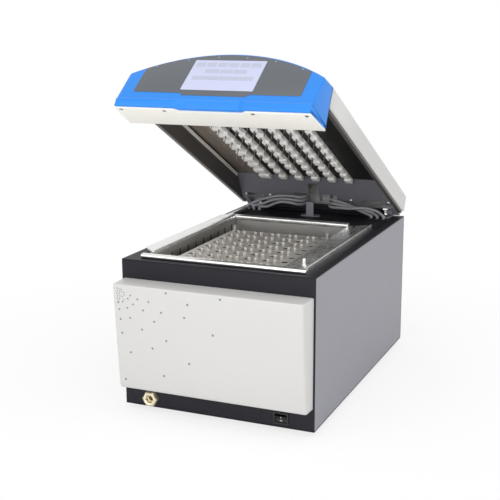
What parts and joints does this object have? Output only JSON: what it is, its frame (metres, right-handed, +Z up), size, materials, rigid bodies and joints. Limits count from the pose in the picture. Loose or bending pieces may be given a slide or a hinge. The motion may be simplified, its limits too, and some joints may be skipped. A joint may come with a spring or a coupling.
{
  "type": "nitrogen sample evaporator",
  "caption": "Bench evaporator: a heated bath with a tube rack under a hinged lid that carries rows of gas nozzles and a touch display.",
  "frame": {"origin": "centre of the outline at the height of the feet's undersides, with the lid open", "axes": "+Z up, -Y towards the front cover, +X to the right seen from the front"},
  "size_m": [0.36, 0.6413, 0.6268],
  "materials": {
    "charcoal_paint": "powder coated, satin",
    "grey_paint": "powder coated, satin",
    "black_paint": "powder coated, satin",
    "dark_plate": "dark coated sheet, semi-gloss",
    "white_plastic": "moulded, satin gloss",
    "cream_plastic": "moulded, matt",
    "blue_plastic": "moulded, satin gloss",
    "black_plastic": "moulded, matt",
    "white_polymer": "machined polymer, matt",
    "overlay_film": "printed film, satin",
    "screen_glass": "display window, gloss",
    "led_lens": "moulded lens",
    "board_green": "circuit board",
    "clear_hose": "clear extruded hose",
    "black_rubber": "moulded",
    "brass": "machined",
    "bare_steel": "plain",
    "brushed_steel": "brushed",
    "bright_steel": "bright brushed"
  },
  "bodies": {
    "cabinet": {"chassis": "charcoal_paint", "front_panel": "charcoal_paint", "side_covers": "grey_paint", "base_plate": "charcoal_paint", "rear_panel": "charcoal_paint", "feet": "black_rubber", "front_cover": "white_plastic", "drain_fitting": "brass", "drain_pipe": "bare_steel", "switch_frame": "black_plastic", "bath_tub": "brushed_steel", "bath_rim": "bright_steel", "slot_plate": "brushed_steel", "bath_heater": "bare_steel", "rim_stud": "bright_steel", "rack_plates": "brushed_steel", "rack_shelf": "brushed_steel", "rack_prongs": "bright_steel", "rack_posts": "bright_steel", "hinge_brackets": "grey_paint", "hinge_pins": "bright_steel", "rear_rail": "charcoal_paint", "hose_stand": "grey_paint", "hose_grommets": "black_rubber", "hoses_left": "clear_hose", "hoses_right": "clear_hose", "power_inlet": "black_plastic", "inlet_pins": "bright_steel", "gas_inlet": "brass", "exhaust_port": "charcoal_paint", "power_supply": "bare_steel", "gas_valve": "black_plastic"},
    "lid": {"lid_cover": "white_plastic", "lid_liner": "black_paint", "lid_arms": "grey_paint", "nozzle_plate": "dark_plate", "edge_strips": "bright_steel", "slope_panel": "grey_paint", "panel_screws": "bright_steel", "gas_header": "bare_steel", "nozzle_bars": "white_polymer", "nozzle_tips": "bright_steel", "bezel": "blue_plastic", "bezel_underplate": "cream_plastic", "underplate_screws": "bare_steel", "display_overlay": "overlay_film", "touch_screen": "screen_glass", "indicator_leds": "led_lens", "display_board": "board_green"},
    "rocker": {"switch_rocker": "black_plastic"}
  },
  "joints": [
    {"name": "lid_hinge", "type": "hinge", "parent": "cabinet", "child": "lid", "pos_m": [0, 0.27184, 0.285], "axis": [1, 0, 0], "range_deg": [0, 27.8], "deforming": ["hoses_left", "hoses_right"]},
    {"name": "switch_rock", "type": "hinge", "parent": "cabinet", "child": "rocker", "pos_m": [0.12, -0.26816, 0.026], "axis": [1, 0, 0], "range_deg": [-24, 0]}
  ]
}
